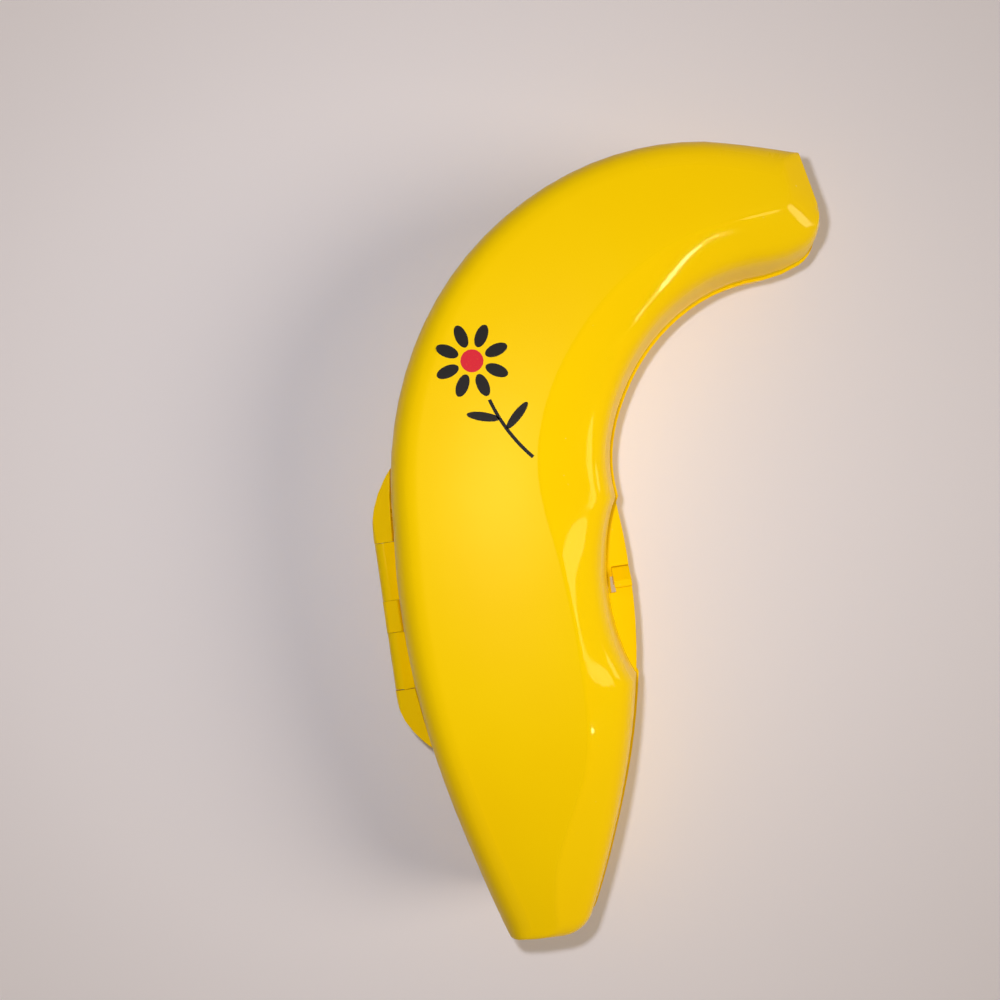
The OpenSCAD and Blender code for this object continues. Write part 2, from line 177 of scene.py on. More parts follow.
def activate(piece: bpy.types.Object) -> None:
    """Makes a piece the only selected and active object.

    Args:
        piece: The piece.
    """
    deselect()
    piece.select_set(True)
    bpy.context.view_layer.objects.active = piece


def clear_selection(piece: bpy.types.Object, kind: str) -> None:
    """Deselects all of a piece's mesh, ready for a new selection.

    Args:
        piece: The piece, which is left active in object mode.
        kind: What is selected next: VERT, EDGE or FACE.
    """
    activate(piece)
    bpy.ops.object.mode_set(mode="EDIT")
    bpy.ops.mesh.select_mode(type=kind)
    bpy.ops.mesh.select_all(action="DESELECT")
    bpy.ops.object.mode_set(mode="OBJECT")


def apply_modifiers(piece: bpy.types.Object) -> None:
    """Applies all of a piece's modifiers in order.

    Args:
        piece: The piece, which is left active.
    """
    activate(piece)
    for modifier in list(piece.modifiers):
        bpy.ops.object.modifier_apply(modifier=modifier.name)


@dataclass(frozen=True)
class MouldedPolypropylene:
    """Yellow polypropylene, injection moulded in a polished tool with a spark-eroded panel.

    The polished skin shows small clear lights, and the panel's fine grain spreads them into a matte sheen. The steep
    walls are duller, because a tool's walls are only drawn smooth along the way that the piece leaves it.
    """

    name: str = "polypropylene_moulded_yellow"
    body_hex: str = "#FFD700"
    deep_hex: str = "#FDCD00"
    sheen_hex: str = "#FFE88C"
    scuff_hex: str = "#FFF0A8"
    gloss: float = 0.05
    panel_gloss: float = 0.33
    wall_gloss: float = 0.5
    shine: float = 0.28
    grain_mm: float = 0.45
    grain_depth_mm: float = 0.013
    ripple_mm: float = 14.0
    ripple_depth_mm: float = 0.07
    cloud_mm: float = 38.0
    wear: float = 0.03
    scuff_mm: float = 1.3
    scuff_range: tuple[float, float] = (0.8, 0.86)
    scuff_share: float = 0.5
    ior: float = 1.49
    edge_mm: float = 0.2
    edge_samples: int = 4
    tool_pitch_mm: float = 1.6
    tool_depth_mm: float = 0.004
    tool_wander: float = 0.6
    tool_core: float = 0.55
    tool_from_hinge_mm: tuple[float, float, float] = (46.4, 3.5, 0.0)
    tool_half_mm: tuple[float, float] = (5.0, 11.0)

    def tool_marks(self, tree: bpy.types.NodeTree, place: bpy.types.NodeSocket) -> bpy.types.NodeSocket:
        """Draws the cutter's marks that the tool left on the band beside the scoop.

        Args:
            tree: The material's node tree.
            place: The place in the piece, in metres.

        Returns:
            The marks' height in mm.
        """
        wave = add_node(tree, "ShaderNodeTexWave", {"bands_direction": "Y", "Distortion": self.tool_wander,
                                                    "Scale": WAVE_PERIOD / (self.tool_pitch_mm * MM)},
                        {"Vector": place})
        centre = from_hinge(self.tool_from_hinge_mm)
        reach = tuple(1 / (c * MM) for c in self.tool_half_mm) + (0.0,)
        away = add_node(tree, "ShaderNodeVectorMath", {"operation": "SUBTRACT", 1: centre}, {0: place})
        share = add_node(tree, "ShaderNodeVectorMath", {"operation": "MULTIPLY", 1: reach}, {0: away.outputs[0]})
        length = add_node(tree, "ShaderNodeVectorMath", {"operation": "LENGTH"}, {0: share.outputs[0]})
        mask = add_node(tree, "ShaderNodeMapRange", {"From Min": self.tool_core, "From Max": 1.0,
                                                     "To Min": self.tool_depth_mm, "To Max": 0.0},
                        {"Value": length.outputs["Value"]})
        marks = add_node(tree, "ShaderNodeMath", {"operation": "MULTIPLY"},
                         {0: wave.outputs["Fac"], 1: mask.outputs["Result"]})
        return marks.outputs[0]

    def build(self) -> bpy.types.Material:
        """Makes the plastic's material.

        Returns:
            The finished material.
        """
        material, tree, shader = new_material(self.name)
        place = add_node(tree, "ShaderNodeTexCoord").outputs["Object"]
        panel = add_node(tree, "ShaderNodeAttribute", {"attribute_name": "panel"}).outputs["Fac"]
        wall = add_node(tree, "ShaderNodeAttribute", {"attribute_name": "wall"}).outputs["Fac"]
        cloud = add_node(tree, "ShaderNodeTexNoise", {"Scale": 1 / (self.cloud_mm * MM), "Detail": 2.0},
                         {"Vector": place})
        tint = add_node(tree, "ShaderNodeMix", {"data_type": "RGBA", 6: linear(self.body_hex),
                                                7: linear(self.deep_hex)}, {0: cloud.outputs["Fac"]})
        scratch = add_node(tree, "ShaderNodeTexNoise", {"Scale": 1 / (self.scuff_mm * MM), "Detail": 1.0},
                           {"Vector": place})
        scuff = add_node(tree, "ShaderNodeMapRange", {"From Min": self.scuff_range[0], "From Max": self.scuff_range[1],
                                                      "To Max": self.scuff_share},
                         {"Value": scratch.outputs["Fac"]})
        bare = add_node(tree, "ShaderNodeMapRange", {"To Min": 1.0, "To Max": 0.0}, {"Value": panel})
        scuffed = add_node(tree, "ShaderNodeMath", {"operation": "MULTIPLY"},
                           {0: scuff.outputs["Result"], 1: bare.outputs["Result"]})
        skin = add_node(tree, "ShaderNodeMix", {"data_type": "RGBA", 7: linear(self.scuff_hex)},
                        {0: scuffed.outputs[0], 6: tint.outputs[2]})
        tree.links.new(skin.outputs[2], shader.inputs["Base Color"])
        # Real spark grain is about 0.1 mm across, so it is drawn coarser to show at the camera's distance.
        grain = add_node(tree, "ShaderNodeTexNoise", {"Scale": 1 / (self.grain_mm * MM), "Detail": 2.0},
                         {"Vector": place})
        ripple = add_node(tree, "ShaderNodeTexNoise", {"Scale": 1 / (self.ripple_mm * MM), "Detail": 1.0},
                          {"Vector": place})
        grain_height = add_node(tree, "ShaderNodeMath", {"operation": "MULTIPLY", 1: self.grain_depth_mm},
                                {0: grain.outputs["Fac"]})
        grained = add_node(tree, "ShaderNodeMath", {"operation": "MULTIPLY_ADD"},
                           {0: grain_height.outputs[0], 1: panel, 2: self.tool_marks(tree, place)})
        height = add_node(tree, "ShaderNodeMath", {"operation": "MULTIPLY_ADD", 1: self.ripple_depth_mm},
                          {0: ripple.outputs["Fac"], 2: grained.outputs[0]})
        edge = add_node(tree, "ShaderNodeBevel", {"samples": self.edge_samples, "Radius": self.edge_mm * MM})
        bump = add_node(tree, "ShaderNodeBump", {"Strength": 1.0, "Distance": MM},
                        {"Height": height.outputs[0], "Normal": edge.outputs["Normal"]})
        tree.links.new(bump.outputs["Normal"], shader.inputs["Normal"])
        polish = add_node(tree, "ShaderNodeMapRange", {"To Min": self.gloss, "To Max": self.wall_gloss},
                          {"Value": wall})
        rough = add_node(tree, "ShaderNodeMapRange", {"To Max": self.panel_gloss},
                         {"Value": panel, "To Min": polish.outputs["Result"]})
        worn = add_node(tree, "ShaderNodeMath", {"operation": "MULTIPLY_ADD", 1: self.wear},
                        {0: cloud.outputs["Fac"], 2: rough.outputs["Result"]})
        tree.links.new(worn.outputs[0], shader.inputs["Roughness"])
        shader.inputs["Specular IOR Level"].default_value = self.shine
        shader.inputs["Specular Tint"].default_value = linear(self.sheen_hex)
        shader.inputs["IOR"].default_value = self.ior
        return material


@dataclass(frozen=True)
class DrawnSteel:
    """Steel wire, drawn through a die and cut: a grey metal with fine lines along the pin."""

    name: str = "steel_wire_drawn"
    steel_hex: str = "#8E8F92"
    line_mm: float = 0.15
    line_depth_mm: float = 0.01
    line_strength: float = 0.4
    stretch: tuple[float, float, float] = (1.0, 0.04, 1.0)
    rough_range: tuple[float, float] = (0.24, 0.42)

    def build(self) -> bpy.types.Material:
        """Makes the steel's material.

        Returns:
            The finished material.
        """
        material, tree, shader = new_material(self.name)
        place = add_node(tree, "ShaderNodeTexCoord").outputs["Object"]
        # A die leaves lines of about 0.02 mm, so they are drawn coarser to show at the camera's distance.
        along = add_node(tree, "ShaderNodeMapping", {"Scale": self.stretch}, {"Vector": place})
        lines = add_node(tree, "ShaderNodeTexNoise", {"Scale": 1 / (self.line_mm * MM), "Detail": 3.0},
                         {"Vector": along.outputs["Vector"]})
        rough = add_node(tree, "ShaderNodeMapRange", {"To Min": self.rough_range[0], "To Max": self.rough_range[1]},
                         {"Value": lines.outputs["Fac"]})
        bump = add_node(tree, "ShaderNodeBump", {"Strength": self.line_strength, "Distance": self.line_depth_mm * MM},
                        {"Height": lines.outputs["Fac"]})
        shader.inputs["Base Color"].default_value = linear(self.steel_hex)
        shader.inputs["Metallic"].default_value = 1.0
        tree.links.new(rough.outputs["Result"], shader.inputs["Roughness"])
        tree.links.new(bump.outputs["Normal"], shader.inputs["Normal"])
        return material


@dataclass(frozen=True)
class PadInk:
    """Pad-printing ink: a thin opaque film with a satin face and the odd pale pinhole."""

    name: str
    ink_hex: str
    thin_hex: str
    satin: float = 0.38
    satin_spread: float = 0.2
    shine: float = 0.2
    fleck_mm: float = 0.5
    thin_range: tuple[float, float] = (0.58, 0.8)

    def build(self) -> bpy.types.Material:
        """Makes the ink's material.

        Returns:
            The finished material.
        """
        material, tree, shader = new_material(self.name)
        place = add_node(tree, "ShaderNodeTexCoord").outputs["Object"]
        fleck = add_node(tree, "ShaderNodeTexNoise", {"Scale": 1 / (self.fleck_mm * MM), "Detail": 3.0},
                         {"Vector": place})
        thin = add_node(tree, "ShaderNodeMapRange", {"From Min": self.thin_range[0], "From Max": self.thin_range[1]},
                        {"Value": fleck.outputs["Fac"]})
        ink = add_node(tree, "ShaderNodeMix", {"data_type": "RGBA", 6: linear(self.ink_hex),
                                               7: linear(self.thin_hex)}, {0: thin.outputs["Result"]})
        rough = add_node(tree, "ShaderNodeMapRange", {"To Min": self.satin, "To Max": self.satin + self.satin_spread},
                         {"Value": fleck.outputs["Fac"]})
        tree.links.new(ink.outputs[2], shader.inputs["Base Color"])
        tree.links.new(rough.outputs["Result"], shader.inputs["Roughness"])
        shader.inputs["Specular IOR Level"].default_value = self.shine
        return material


def face_pairs(mesh: bpy.types.Mesh) -> dict[int, list[int]]:
    """Finds the faces on both sides of each edge.

    Args:
        mesh: The mesh to read.

    Returns:
        Face numbers by edge number.
    """
    sides: dict[int, list[int]] = {}
    for face in mesh.polygons:
        for loop in face.loop_indices:
            sides.setdefault(mesh.loops[loop].edge_index, []).append(face.index)
    return sides


@dataclass
class Moulding:
    """A moulded piece that follows its CAD solid: merged, with a smooth skin between its sharp edges."""

    node: str
    name: str
    body: Body
    merge_mm: float = 0.002
    smooth_deg: float = 32.0
    level_z: float = 0.8

    def copy(self) -> bpy.types.Object:
        """Copies the solid's mesh and merges it.

        Returns:
            The piece, in its place.
        """
        deselect()
        piece = bpy.data.objects.new(self.name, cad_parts[self.node].data.copy())
        bpy.context.scene.collection.objects.link(piece)
        activate(piece)
        bpy.ops.mesh.customdata_custom_splitnormals_clear()
        bpy.ops.object.mode_set(mode="EDIT")
        bpy.ops.mesh.select_all(action="SELECT")
        bpy.ops.mesh.remove_doubles(threshold=self.merge_mm * MM)
        bpy.ops.mesh.dissolve_degenerate(threshold=self.merge_mm * MM)
        bpy.ops.object.mode_set(mode="OBJECT")
        return piece

    def mark_walls(self, piece: bpy.types.Object) -> None:
        """Marks how steep the skin is at each corner, from 0 on level faces to 1 on upright walls.

        Args:
            piece: The piece in its final form.
        """
        walls = piece.data.attributes.new("wall", "FLOAT", "POINT")
        steep = [(self.level_z - abs(vertex.normal.z)) / self.level_z for vertex in piece.data.vertices]
        walls.data.foreach_set("value", [max(0.0, share) for share in steep])

    def smooth(self, piece: bpy.types.Object) -> None:
        """Smooths the skin between its sharp edges."""
        activate(piece)
        bpy.ops.object.shade_smooth_by_angle(angle=math.radians(self.smooth_deg))

    def shape(self, piece: bpy.types.Object) -> None:
        """Works the copied solid into the form that is seen; each kind of moulding adds its own."""

    def build(self) -> bpy.types.Object:
        """Makes the piece.

        Returns:
            The finished piece, in its place.
        """
        piece = self.copy()
        self.shape(piece)
        self.mark_walls(piece)
        self.smooth(piece)
        return piece

    def dress(self, piece: bpy.types.Object, material: bpy.types.Material) -> None:
        """Gives the piece its finish and its body.

        Args:
            piece: The piece that build made.
            material: The finish.
        """
        piece.data.materials.clear()
        piece.data.materials.append(material)
        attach(piece, self.body.value)
        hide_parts(self.node)


@dataclass
class SprungHook(Moulding):
    """The hook of the latch, which bends at its root: root and side reach almost to the plate that it springs from."""

    reach_mm: float = 0.26
    tongue_share: float = 0.06

    def shape(self, piece: bpy.types.Object) -> None:
        """Draws the hook's side out, and draws its root out to a tongue that turns in place as the hook bends.

        Args:
            piece: The hook.
        """
        corners = piece.data.vertices
        side = min(corner.co.x for corner in corners)
        for corner in corners:
            if corner.co.x < side + self.merge_mm * MM:
                corner.co.x -= self.reach_mm * MM
        clear_selection(piece, "FACE")
        root = [face for face in piece.data.polygons if face.normal.y > FACING]
        for face in root:
            face.select = True
        levels = [corners[index].co.z for face in root for index in face.vertices]
        middle = Vector((0, 0, (min(levels) + max(levels)) / 2))
        bpy.ops.object.mode_set(mode="EDIT")
        bpy.ops.mesh.extrude_region_move(TRANSFORM_OT_translate={"value": (0, self.reach_mm * MM, 0)})
        bpy.ops.transform.resize(value=(1, 1, self.tongue_share), center_override=middle)
        # The extrusion adds its faces in an order that changes from run to run, so they are put in a set order.
        bpy.ops.mesh.select_all(action="SELECT")
        bpy.ops.mesh.sort_elements(type="CURSOR_DISTANCE", elements={"FACE"})
        bpy.ops.object.mode_set(mode="OBJECT")


@dataclass
class CaseHalf(Moulding):
    """One half of the case: its large flat panel is grained, and a softened crease parts it from the glossy band."""

    side: Side = Side.FRONT
    level_mm: float = 0.01
    level_share: float = 0.9999
    flat_deg: float = 2.6
    crease_mm: float = 0.7
    crease_deg: float = 9.0
    crease_steps: int = 3
    round_deg: float = 26.0
    bed_mm: float = 0.0
    bed_level_mm: float = 0.001
    knuckle_mm: float = 0.0
    bore_radii: float = 1.2
    web_radii: float = 15.0
    outward: tuple[float, float] = (-0.75, 0.66)
    outward_share: float = 0.04
    corner_from_hinge_mm: tuple[float, float, float] = (119.0, 76.3, 0.0)
    corner_mm: float = 2.0
    corner_round_mm: float = 15.0

    def select_panel(self, piece: bpy.types.Object) -> set[int]:
        """Selects the faces of the flat panel.

        Args:
            piece: The half.

        Returns:
            Their numbers.
        """
        clear_selection(piece, "FACE")
        heights = [face.center.z * self.side.value for face in piece.data.polygons]
        top = max(heights)
        for face, height in zip(piece.data.polygons, heights):
            level = face.normal.z * self.side.value > self.level_share
            face.select = level and height > top - self.level_mm * MM
        bpy.ops.object.mode_set(mode="EDIT")
        bpy.ops.mesh.faces_select_linked_flat(sharpness=math.radians(self.flat_deg))
        bpy.ops.object.mode_set(mode="OBJECT")
        return {face.index for face in piece.data.polygons if face.select}

    def lower_bed(self, piece: bpy.types.Object) -> None:
        """Lowers the flat of the panel by the thickness of the print on it, so that the case keeps its depth.

        Args:
            piece: The half.
        """
        top = max(vertex.co.z * self.side.value for vertex in piece.data.vertices)
        for vertex in piece.data.vertices:
            if vertex.co.z * self.side.value > top - self.bed_level_mm * MM:
                vertex.co.z -= self.side.value * self.bed_mm * MM

    def fill_corner(self, piece: bpy.types.Object) -> None:
        """Fills out the inner corner of the stem's end, which is fuller and rounder than the solid's.

        Args:
            piece: The half.
        """
        centre = from_hinge(self.corner_from_hinge_mm)
        for vertex in piece.data.vertices:
            share = (vertex.co.xy - centre.xy).length / (self.corner_round_mm * MM)
            if share < 1:
                vertex.co.y -= self.corner_mm * MM * (1 - share ** 2) ** 2

    def close_knuckles(self, piece: bpy.types.Object) -> None:
        """Draws out both ends of each clip along the pin, so that only a hairline is left beside the next knuckle.

        Args:
            piece: The half with the clips.
        """
        low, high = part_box("hinge_pin")
        middle = (low + high) / 2
        radius = (high.z - low.z) / 2
        for way in (-1, 1):
            clip = [vertex for vertex in piece.data.vertices if (vertex.co.y - middle.y) * way > 0]
            bore = [vertex.co.y for vertex in clip
                    if math.hypot(vertex.co.x - middle.x, vertex.co.z - middle.z) < self.bore_radii * radius]
            for end, step in ((min(bore), -self.knuckle_mm), (max(bore), self.knuckle_mm)):
                for vertex in clip:
                    near = vertex.co.x < middle.x + self.web_radii * radius
                    if near and abs(vertex.co.y - end) < self.merge_mm * MM:
                        vertex.co.y += step * MM

    def soften_crease(self, piece: bpy.types.Object) -> int:
        """Bevels the crease between the panel and the band.

        Args:
            piece: The half.

        Returns:
            The number of edges in the crease.
        """
        panel = self.select_panel(piece)
        faces = piece.data.polygons
        crease = []
        for edge, pair in face_pairs(piece.data).items():
            if len(pair) == 2 and len(panel.intersection(pair)) == 1:
                if faces[pair[0]].normal.angle(faces[pair[1]].normal) > math.radians(self.crease_deg):
                    crease.append(edge)
        clear_selection(piece, "EDGE")
        for edge in crease:
            piece.data.edges[edge].select = True
        bpy.ops.object.mode_set(mode="EDIT")
        bpy.ops.mesh.bevel(offset=self.crease_mm * MM, segments=self.crease_steps, affect="EDGES", clamp_overlap=False)
        bpy.ops.object.mode_set(mode="OBJECT")
        return len(crease)

    def grain_panel(self, piece: bpy.types.Object) -> int:
        """Marks the grained faces, which are the panel and the rounded outer edge beside it.

        Args:
            piece: The finished half.

        Returns:
            The number of grained faces.
        """
        grained = self.select_panel(piece)
        faces = piece.data.polygons
        near: dict[int, list[int]] = {}
        for pair in face_pairs(piece.data).values():
            if len(pair) == 2 and faces[pair[0]].normal.angle(faces[pair[1]].normal) < math.radians(self.round_deg):
                near.setdefault(pair[0], []).append(pair[1])
                near.setdefault(pair[1], []).append(pair[0])
        edge = list(grained)
        while edge:
            for index in near.get(edge.pop(), []):
                normal = faces[index].normal
                share = normal.x * self.outward[0] + normal.y * self.outward[1]
                if index not in grained and share > self.outward_share:
                    grained.add(index)
                    edge.append(index)
        panel = piece.data.attributes.new("panel", "FLOAT", "FACE")
        panel.data.foreach_set("value", [1.0 if face.index in grained else 0.0 for face in faces])
        return len(grained)

    def shape(self, piece: bpy.types.Object) -> None:
        """Works the half's panel, corner, clips and crease, and marks its grain.

        Args:
            piece: The half.
        """
        self.lower_bed(piece)
        self.fill_corner(piece)
        if self.knuckle_mm:
            self.close_knuckles(piece)
        edges = self.soften_crease(piece)
        grained = self.grain_panel(piece)
        log.info("%s: %d edges in the crease, %d grained faces", self.name, edges, grained)


@dataclass
class FlowerPrint:
    """A printed flower on the front panel: oval petals round a red eye, on a stem with two leaves."""

    from_hinge_mm: tuple[float, float, float] = (33.5, 55.1, 0.0)
    turn_deg: float = -16.0
    head_up_mm: float = 8.0
    eye_mm: float = 2.9
    petal_count: int = 8
    petal_long_mm: float = 6.0
    petal_wide_mm: float = 4.6
    petal_from_mm: float = 3.7
    patch_sides: int = 48
    waist: float = 0.45
    taper: float = 0.82
    taper_at: tuple[float, float] = (0.0, 0.25)
    eye_sides: int = 64
    stem_gap_mm: float = 0.6
    stem_steps: int = 24
    stem_wide_mm: float = 0.9
    stem_radius_mm: float = 42.0
    stem_turn_deg: float = 25.0
    leaf_long_mm: float = 8.4
    leaf_wide_mm: float = 3.4
    leaf_from_mm: float = 0.1
    leaf_deg_and_down_mm: tuple[tuple[float, float], ...] = ((62.0, 9.0), (-58.0, 6.0))
    film_mm: float = 0.02
    sink_mm: float = 0.03

    def origin(self) -> Vector:
        """Finds the print's middle, level with the front of the case.

        Returns:
            The place in metres.
        """
        middle = from_hinge(self.from_hinge_mm)
        middle.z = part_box("front_shell")[1].z
        return middle

    def drop(self, length: float, width: float, start: float, angle: float, foot: Vector) -> bpy.types.Object:
        """Models a leaf-shaped patch of ink.

        Args:
            length: The patch's length in mm.
            width: Its width in mm.
            start: The distance of its narrow end from the foot in mm.
            angle: The way it points, in degrees from the print's upright.
            foot: The point that it grows from, in metres.

        Returns:
            The patch, flat, with its upper face on the print's plane.
        """
        deselect()
        bpy.ops.mesh.primitive_circle_add(vertices=self.patch_sides, radius=MM / 2, fill_type="NGON", location=foot)
        patch = bpy.context.object
        bpy.ops.object.transform_apply(location=True, rotation=True, scale=True)
        bpy.ops.object.mode_set(mode="EDIT")
        bpy.ops.mesh.select_all(action="SELECT")
        bpy.ops.transform.resize(value=(width, length, 1), center_override=foot)
        bpy.ops.transform.translate(value=(0, (start + length / 2) * MM, 0))
        bpy.ops.mesh.select_mode(type="VERT")
        bpy.ops.object.mode_set(mode="OBJECT")
        middle = foot.y + (start + length * self.waist) * MM
        for share in self.taper_at:
            low = middle - share * length * MM
            for vertex in patch.data.vertices:
                vertex.select = vertex.co.y < low
            bpy.ops.object.mode_set(mode="EDIT")
            bpy.ops.transform.resize(value=(self.taper, 1, 1), center_override=foot)
            bpy.ops.object.mode_set(mode="OBJECT")
        bpy.ops.object.mode_set(mode="EDIT")
        bpy.ops.mesh.select_all(action="SELECT")
        bpy.ops.transform.rotate(value=math.radians(angle), orient_axis="Z", center_override=foot)
        bpy.ops.object.mode_set(mode="OBJECT")
        return patch

    def disc(self, radius: float, at: Vector) -> bpy.types.Object:
        """Models a round patch of ink.

        Args:
            radius: The patch's radius in mm.
            at: Its middle, in metres.

        Returns:
            The patch.
        """
        deselect()
        bpy.ops.mesh.primitive_circle_add(vertices=self.eye_sides, radius=radius * MM, fill_type="NGON", location=at)
        bpy.ops.object.transform_apply(location=True, rotation=True, scale=True)
        return bpy.context.object

    def stem(self, top: Vector) -> bpy.types.Object:
        """Models the stem as a narrow strip, spun along a wide arc.

        Args:
            top: The stem's upper end, in metres.

        Returns:
            The strip.
        """
        deselect()
        bpy.ops.mesh.primitive_plane_add(size=self.stem_wide_mm * MM, location=top)
        strip = bpy.context.object
        bpy.ops.object.transform_apply(location=True, rotation=True, scale=True)
        clear_selection(strip, "VERT")
        for vertex in strip.data.vertices:
            vertex.select = vertex.co.y > top.y
        bpy.ops.object.mode_set(mode="EDIT")
        bpy.ops.mesh.delete(type="VERT")
        bpy.ops.mesh.select_all(action="SELECT")
        centre = top + Vector((self.stem_radius_mm * MM, 0, 0))
        turn = -math.radians(self.stem_turn_deg)
        bpy.ops.mesh.spin(steps=self.stem_steps, angle=turn, center=centre, axis=(0, 0, 1))
        bpy.ops.object.mode_set(mode="OBJECT")
        return strip

    def joined(self, patches: list[bpy.types.Object], name: str) -> bpy.types.Object:
        """Joins patches into one film, turns it into place and gives it thickness.

        Args:
            patches: The flat patches.
            name: The film's name.

        Returns:
            The finished film.
        """
        deselect()
        for patch in patches:
            patch.select_set(True)
        film = patches[0]
        bpy.context.view_layer.objects.active = film
        if len(patches) > 1:
            bpy.ops.object.join()
        film.name = name
        film.data.name = name
        bpy.ops.object.mode_set(mode="EDIT")
        bpy.ops.mesh.select_all(action="SELECT")
        bpy.ops.transform.rotate(value=math.radians(self.turn_deg), orient_axis="Z", center_override=self.origin())
        bpy.ops.mesh.select_mode(type="FACE")
        bpy.ops.object.mode_set(mode="OBJECT")
        for face in film.data.polygons:
            face.select = face.normal.z < 0
        bpy.ops.object.mode_set(mode="EDIT")
        bpy.ops.mesh.flip_normals()
        bpy.ops.object.mode_set(mode="OBJECT")
        wall = film.modifiers.new("film", "SOLIDIFY")
        wall.thickness = (self.film_mm + self.sink_mm) * MM
        wall.offset = -1.0
        apply_modifiers(film)
        return film

    def build(self) -> tuple[bpy.types.Object, bpy.types.Object]:
        """Models the print.

        Returns:
            The dark film and the red film.
        """
        middle = self.origin()
        head = middle + Vector((0, self.head_up_mm * MM, 0))
        dark = [self.drop(self.petal_long_mm, self.petal_wide_mm, self.petal_from_mm, 360 / self.petal_count * i, head)
                for i in range(self.petal_count)]
        stem_top = head - Vector((0, (self.petal_from_mm + self.petal_long_mm + self.stem_gap_mm) * MM, 0))
        dark.append(self.stem(stem_top))
        for angle, down in self.leaf_deg_and_down_mm:
            bow = down / self.stem_radius_mm
            foot = stem_top + self.stem_radius_mm * MM * Vector((1 - math.cos(bow), -math.sin(bow), 0))
            dark.append(self.drop(self.leaf_long_mm, self.leaf_wide_mm, self.leaf_from_mm, angle, foot))
        red = [self.disc(self.eye_mm, head)]
        return self.joined(dark, "print_dark"), self.joined(red, "print_red")

    def dress(self, films: tuple[bpy.types.Object, bpy.types.Object], inks: tuple[PadInk, PadInk]) -> None:
        """Inks both films and lets them move with the front half.

        Args:
            films: The dark film and the red film.
            inks: Their inks.
        """
        for film, ink in zip(films, inks):
            film.data.materials.clear()
            film.data.materials.append(ink.build())
            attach(film, Body.FRONT.value)


@dataclass
class HingePin:
    """The pin of the hinge, which stays as its CAD solid is."""

    node: str = "hinge_pin"

    def dress(self, finish: DrawnSteel) -> None:
        """Gives the pin its steel.

        Args:
            finish: The steel.
        """
        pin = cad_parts[self.node]
        pin.data.materials.clear()
        pin.data.materials.append(finish.build())


@dataclass(frozen=True)
class Lamp:
    """A round lamp that faces the case, placed in metres from the floor under the camera.

    A near lamp's size is in metres and its power in watts. A far lamp's size is the angle that it fills in radians, and
    its power is in watts per square metre.
    """

    name: str
    offset: tuple[float, float, float]
    watts: float
    size: float
    glint: Glint
    colour_hex: str = "#FFFFFF"
    reach: Reach = Reach.NEAR

    def hang(self, eye: Vector) -> None:
        """Hangs the lamp.

        Args:
            eye: The camera's place in metres.
        """
        deselect()
        foot = Vector((eye.x, eye.y, 0))
        at = foot + Vector(self.offset)
        turn = (at - foot).to_track_quat("Z", "Y").to_euler()
        bpy.ops.object.light_add(type=self.reach.value, location=at, rotation=turn)
        lamp = bpy.context.object
        lamp.name = self.name
        if self.reach is Reach.FAR:
            lamp.data.angle = self.size
        else:
            lamp.data.shape = "DISK"
            lamp.data.size = self.size
        lamp.data.energy = self.watts
        lamp.data.color = linear(self.colour_hex)[:3]
        lamp.visible_camera = False
        lamp.visible_glossy = self.glint is Glint.SHINE
        lamp.visible_diffuse = self.glint is Glint.LIGHT


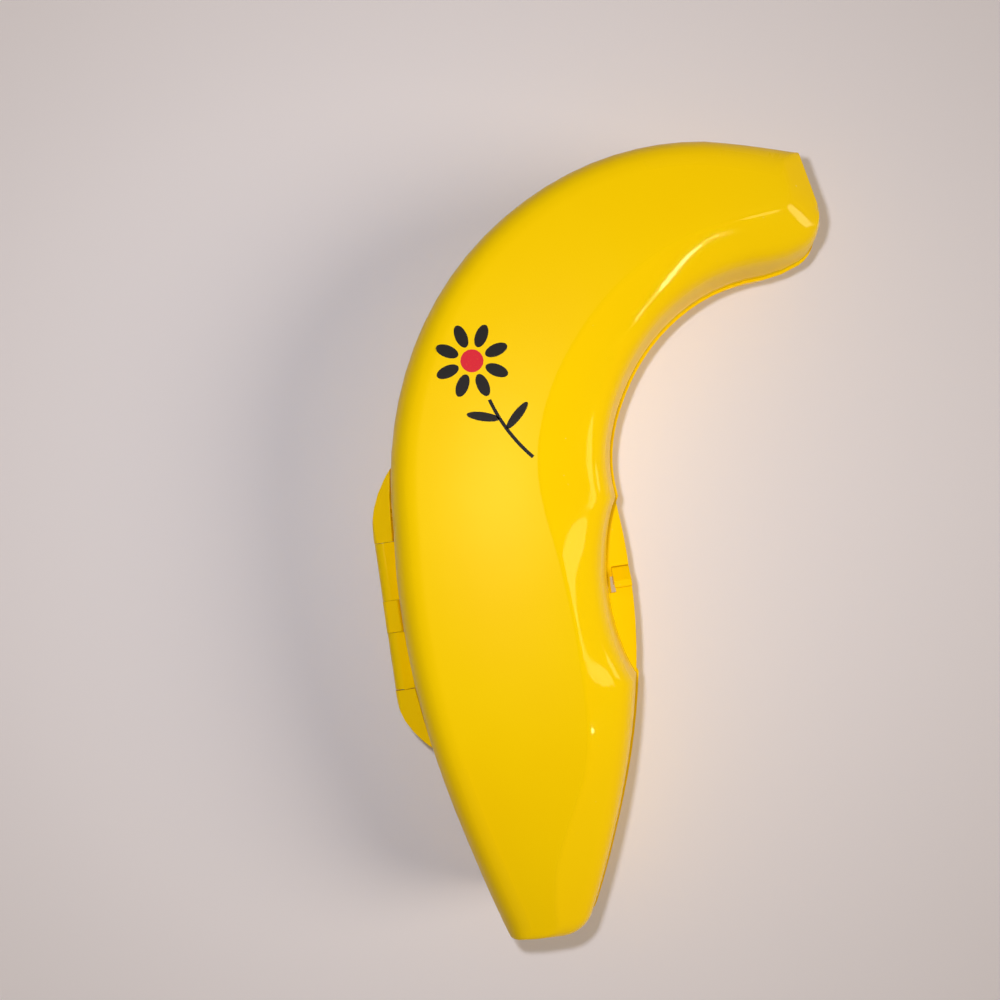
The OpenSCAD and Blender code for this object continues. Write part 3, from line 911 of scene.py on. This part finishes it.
@dataclass
class Studio:
    """A pale floor, a cool lamp by the camera, a warmer one in the room and their shine, seen from straight above."""

    lamps: tuple[Lamp, ...] = (
        Lamp("lamp_near", (-0.017, 0.022, 0.33), 0.52, 0.014, Glint.LIGHT, "#F2F5FF"),
        Lamp("lamp_room", (0.55, -0.12, 0.41), 1.5, 0.55, Glint.LIGHT, "#FFF1DD", Reach.FAR),
        Lamp("lamp_lens", (0.001, 0.008, 0.36), 0.3, 0.03, Glint.SHINE),
        Lamp("lamp_window", (0.61, -0.342, 0.635), 0.08, 0.02, Glint.SHINE),
        Lamp("lamp_door", (0.70, -0.05, 0.63), 0.7, 0.22, Glint.SHINE),
        Lamp("lamp_far", (0.928, 0.05, 0.356), 0.6, 0.2, Glint.SHINE),
    )
    eye_from_hinge_mm: tuple[float, float, float] = (33.25, 27.03, 330.0)
    turn_deg: float = -8.27
    lens: float = 43.68
    sensor: float = 36.0
    clip_m: tuple[float, float] = (0.01, 50.0)
    floor_m: float = 6.0
    floor_gap_mm: float = 0.02
    floor_hex: str = "#F1ECEE"
    floor_rough: tuple[float, float] = (0.4, 0.55)
    mottle_scale: float = 9.0
    sky_hex: str = "#FFEFE3"
    sky_light: float = 0.13
    sky_shown: float = 0.37

    def lay_floor(self) -> None:
        """Lays the floor just under the case."""
        deselect()
        bpy.ops.mesh.primitive_plane_add(size=self.floor_m, location=(0, 0, -self.floor_gap_mm * MM))
        floor = bpy.context.object
        floor.name = "floor"
        # Painted board: a matte pale face whose gloss is a little uneven.
        material, tree, shader = new_material("painted_board_pale")
        place = add_node(tree, "ShaderNodeTexCoord").outputs["Object"]
        mottle = add_node(tree, "ShaderNodeTexNoise", {"Scale": self.mottle_scale, "Detail": 3.0}, {"Vector": place})
        rough = add_node(tree, "ShaderNodeMapRange", {"To Min": self.floor_rough[0], "To Max": self.floor_rough[1]},
                         {"Value": mottle.outputs["Fac"]})
        shader.inputs["Base Color"].default_value = linear(self.floor_hex)
        tree.links.new(rough.outputs["Result"], shader.inputs["Roughness"])
        floor.data.materials.append(material)

    def eye(self) -> Vector:
        """Gives the camera's place."""
        return from_hinge(self.eye_from_hinge_mm)

    def surround(self) -> None:
        """Sets the soft surround: its light on the case is lower than the level at which it is seen."""
        world = bpy.data.worlds.new("soft_surround")
        bpy.context.scene.world = world
        world.use_nodes = True
        world.node_tree.nodes.clear()
        tree = world.node_tree
        path = add_node(tree, "ShaderNodeLightPath")
        seen = add_node(tree, "ShaderNodeMath", {"operation": "MAXIMUM"},
                        {0: path.outputs["Is Camera Ray"], 1: path.outputs["Is Glossy Ray"]})
        clear = add_node(tree, "ShaderNodeMath", {"operation": "MAXIMUM"},
                         {0: seen.outputs[0], 1: path.outputs["Is Transmission Ray"]})
        level = add_node(tree, "ShaderNodeMapRange", {"To Min": self.sky_light, "To Max": self.sky_shown},
                         {"Value": clear.outputs[0]})
        sky = add_node(tree, "ShaderNodeBackground", {"Color": linear(self.sky_hex)},
                       {"Strength": level.outputs["Result"]})
        add_node(tree, "ShaderNodeOutputWorld", links={"Surface": sky.outputs[0]})

    def camera(self) -> None:
        """Hangs the camera straight above the case."""
        deselect()
        bpy.ops.object.camera_add(location=self.eye(), rotation=(0, 0, math.radians(self.turn_deg)))
        camera = bpy.context.object
        camera.data.sensor_width = self.sensor
        camera.data.lens = self.lens
        camera.data.clip_start, camera.data.clip_end = self.clip_m
        bpy.context.scene.camera = camera

    def build(self) -> None:
        """Sets the floor, lamps, surround, camera and picture settings."""
        self.lay_floor()
        for lamp in self.lamps:
            lamp.hang(self.eye())
        self.surround()
        self.camera()
        bpy.context.scene.view_settings.view_transform = "Standard"


def main() -> None:
    """Builds the studio and every piece in order, and reports each one."""
    logging.basicConfig(level=logging.INFO)
    Studio().build()
    plastic = MouldedPolypropylene().build()
    flower = FlowerPrint()
    mouldings: list[Moulding] = [
        CaseHalf("front_shell", "front_half", Body.FRONT, side=Side.FRONT, bed_mm=flower.film_mm, knuckle_mm=0.22),
        CaseHalf("rear_shell", "rear_half", Body.REAR, side=Side.REAR),
        SprungHook("latch_hook", "hook", Body.LATCH),
    ]
    for moulding in mouldings:
        piece = moulding.build()
        moulding.dress(piece, plastic)
        log.info("%s: %d faces", piece.name, len(piece.data.polygons))
    pin = HingePin()
    pin.dress(DrawnSteel())
    log.info("%s: kept as its solid", pin.node)
    films = flower.build()
    flower.dress(films, (PadInk("pad_ink_black", "#120E0C", "#241C12"), PadInk("pad_ink_red", "#DB1E30", "#DB4A28")))
    for film in films:
        log.info("%s: %d faces", film.name, len(film.data.polygons))


if __name__ == "__main__":
    main()
